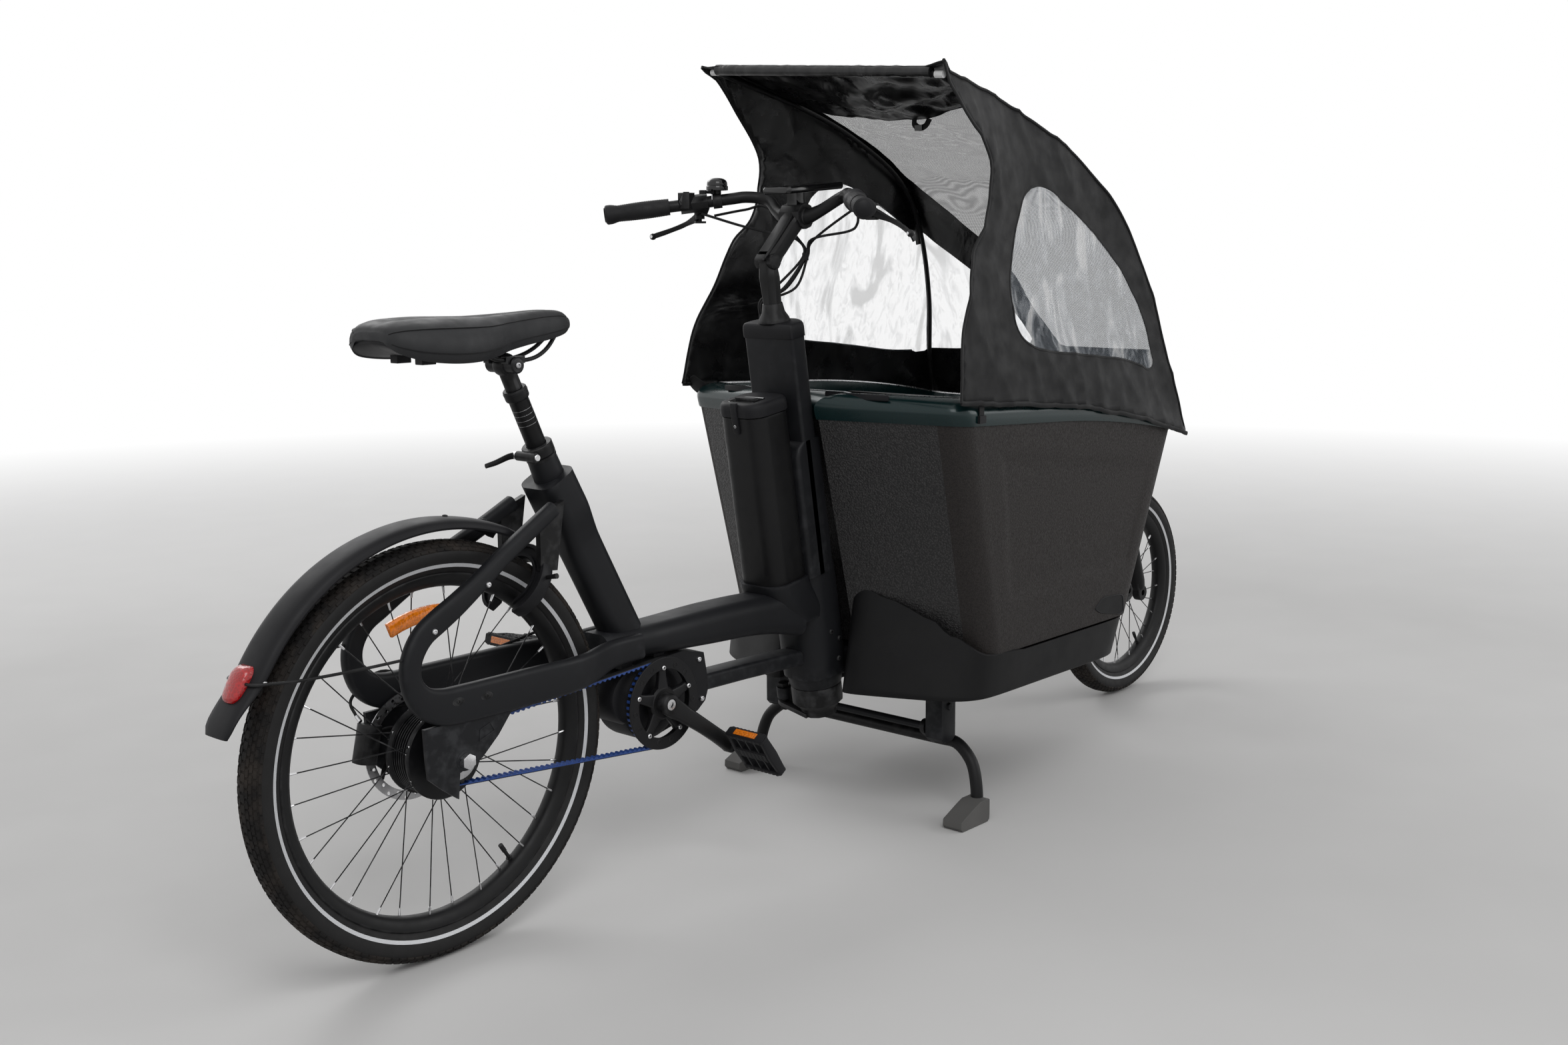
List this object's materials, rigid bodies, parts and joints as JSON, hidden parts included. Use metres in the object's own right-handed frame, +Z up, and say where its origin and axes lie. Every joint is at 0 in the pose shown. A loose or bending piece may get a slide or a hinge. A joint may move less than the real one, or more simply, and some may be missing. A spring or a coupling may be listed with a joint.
{
  "type": "cargo bicycle",
  "caption": "Front-loading electric cargo bicycle with a moulded box, bench and rain canopy, mid motor, belt drive, rod steering, disc brakes and a folding stand.",
  "frame": {"origin": "middle of the bounding box in X and Y, on the ground under the rear tyre and the stand's feet", "axes": "+X forwards, +Y to the rider's left, +Z up"},
  "size_m": [2.715, 0.705, 1.4655],
  "materials": {
    "frame_black": "matte powder coat",
    "fitting_black": "satin anodised black",
    "moulded_black": "satin moulded",
    "gloss_black": "gloss",
    "foam_grey": "moulded foam",
    "rim_teal": "dark metallic",
    "rubber_black": "matte",
    "tyre_black": "matte",
    "belt_blue": "matte",
    "bare_steel": "brushed",
    "cloth_black": "coated cloth",
    "lamp_red": "clear red"
  },
  "bodies": {
    "frame": {"chassis_beam": "frame_black", "main_beam": "frame_black", "seat_tube": "frame_black", "rear_side_right": "frame_black", "rear_side_left": "frame_black", "column_tower": "frame_black", "tower_cap": "moulded_black", "motor_housing": "fitting_black", "box_shell": "foam_grey", "box_rim": "rim_teal", "box_tray": "moulded_black", "bench": "moulded_black", "rear_fender": "moulded_black", "tail_light": "lamp_red", "ring_lock_case": "moulded_black", "drive_belt": "belt_blue", "rear_axle": "bare_steel", "rear_caliper": "fitting_black", "stand_mount": "frame_black", "canopy_sheet": "cloth_black", "canopy_frame": "fitting_black", "rear_brake_hose": "rubber_black", "seat_clamp": "fitting_black"},
    "lock_bolt": {"ring_lock_bolt": "bare_steel"},
    "steering": {"steerer": "frame_black", "stem_foot": "fitting_black", "stem_arm": "fitting_black", "handlebar": "fitting_black", "grip_left": "rubber_black", "grip_right": "rubber_black", "lever_perch_right": "fitting_black", "lever_perch_left": "fitting_black", "display": "gloss_black", "bell": "gloss_black", "control_cables": "rubber_black"},
    "throttle": {"twist_grip": "rubber_black"},
    "right_lever": {"brake_lever_right": "fitting_black"},
    "left_lever": {"brake_lever_left": "fitting_black"},
    "button": {"remote_button": "rubber_black"},
    "striker": {"bell_striker": "gloss_black"},
    "rod": {"steering_rod": "fitting_black"},
    "fork": {"fork_upper": "fitting_black"},
    "fork_legs": {"fork_lower": "fitting_black", "front_caliper": "fitting_black"},
    "front_wheel_set": {"front_wheel": "fitting_black", "front_tyre": "tyre_black", "front_rotor": "bare_steel"},
    "rear_wheel_set": {"rear_wheel": "fitting_black", "rear_tyre": "tyre_black", "rear_rotor": "bare_steel"},
    "driven_pulley": {"rear_pulley": "fitting_black"},
    "crankset": {"crank_right": "fitting_black", "crank_left": "fitting_black", "front_pulley": "fitting_black"},
    "right_pedal": {"pedal_right": "moulded_black"},
    "left_pedal": {"pedal_left": "moulded_black"},
    "battery": {"battery_pack": "moulded_black"},
    "seat": {"seat_post": "fitting_black", "saddle": "rubber_black"},
    "stand": {"kickstand": "frame_black"}
  },
  "joints": [
    {"name": "steering_turn", "type": "hinge", "parent": "frame", "child": "steering", "pos_m": [-0.02101, 0, 0], "axis": [-0.1582, 0, 0.9874], "range_deg": [-40, 40]},
    {"name": "rod_pivot", "type": "hinge", "parent": "steering", "child": "rod", "pos_m": [-0.0566, 0.088, 0.22217], "axis": [-0.1582, 0, 0.9874], "range_deg": [-40, 40]},
    {"name": "fork_turn", "type": "hinge", "parent": "frame", "child": "fork", "pos_m": [1.0577, 0, 0.24561], "axis": [-0.342, 0, 0.9397], "range_deg": [-40, 40]},
    {"name": "fork_travel", "type": "slide", "parent": "fork", "child": "fork_legs", "axis": [-0.342, 0, 0.9397], "range_m": [0, 0.042], "stiffness_N_per_m": 9000},
    {"name": "front_wheel_spin", "type": "hinge", "parent": "fork_legs", "child": "front_wheel_set", "pos_m": [1.09998, 0, 0.261], "axis": [0, 1, 0], "continuous": true},
    {"name": "rear_wheel_spin", "type": "hinge", "parent": "frame", "child": "rear_wheel_set", "pos_m": [-0.98501, 0, 0.3345], "axis": [0, 1, 0], "continuous": true},
    {"name": "driven_pulley_spin", "type": "hinge", "parent": "frame", "child": "driven_pulley", "pos_m": [-0.98501, 0, 0.3345], "axis": [0, 1, 0], "continuous": true},
    {"name": "crank_spin", "type": "hinge", "parent": "frame", "child": "crankset", "pos_m": [-0.54402, 0, 0.329], "axis": [0, 1, 0], "continuous": true},
    {"name": "right_pedal_spin", "type": "hinge", "parent": "crankset", "child": "right_pedal", "pos_m": [-0.41224, -0.094, 0.2297], "axis": [0, 1, 0], "continuous": true},
    {"name": "left_pedal_spin", "type": "hinge", "parent": "crankset", "child": "left_pedal", "pos_m": [-0.67579, 0.094, 0.4283], "axis": [0, 1, 0], "continuous": true},
    {"name": "throttle_turn", "type": "hinge", "parent": "steering", "child": "throttle", "pos_m": [-0.11701, -0.128, 1.205], "axis": [-0.7, -0.7038, -0.1211], "range_deg": [-60, 60]},
    {"name": "right_lever_pull", "type": "hinge", "parent": "steering", "child": "right_lever", "pos_m": [-0.15302, -0.213, 1.171], "axis": [0, 0, -1], "range_deg": [0, 18], "stiffness_Nm_per_rad": 2},
    {"name": "left_lever_pull", "type": "hinge", "parent": "steering", "child": "left_lever", "pos_m": [-0.15302, 0.213, 1.171], "axis": [0, 0, 1], "range_deg": [0, 18], "stiffness_Nm_per_rad": 2},
    {"name": "button_press", "type": "slide", "parent": "steering", "child": "button", "axis": [0, 0, -1], "range_m": [0, 0.0015], "stiffness_N_per_m": 600},
    {"name": "striker_swing", "type": "hinge", "parent": "steering", "child": "striker", "pos_m": [-0.16662, 0.1652, 1.1986], "axis": [0, 0, 1], "range_deg": [-25, 25], "stiffness_Nm_per_rad": 0.1},
    {"name": "lock_close", "type": "hinge", "parent": "frame", "child": "lock_bolt", "pos_m": [-0.80868, 0, 0.5772], "axis": [0.809, 0, -0.5878], "range_deg": [0, 62], "stiffness_Nm_per_rad": 0.15},
    {"name": "battery_lift", "type": "slide", "parent": "frame", "child": "battery", "axis": [-0.1582, 0, 0.9874], "range_m": [0, 0.34]},
    {"name": "seat_height", "type": "slide", "parent": "frame", "child": "seat", "axis": [-0.4134, 0, 0.9106], "range_m": [-0.05, 0.03]},
    {"name": "stand_fold", "type": "hinge", "parent": "frame", "child": "stand", "pos_m": [0.06599, 0, 0.172], "axis": [0, 1, 0], "range_deg": [0, 75]}
  ],
  "couplings": [
    {"joint": "rod_pivot", "follows": "steering_turn", "ratio": -1},
    {"joint": "fork_turn", "follows": "steering_turn", "ratio": 1},
    {"joint": "driven_pulley_spin", "follows": "crank_spin", "ratio": 1.8333}
  ]
}
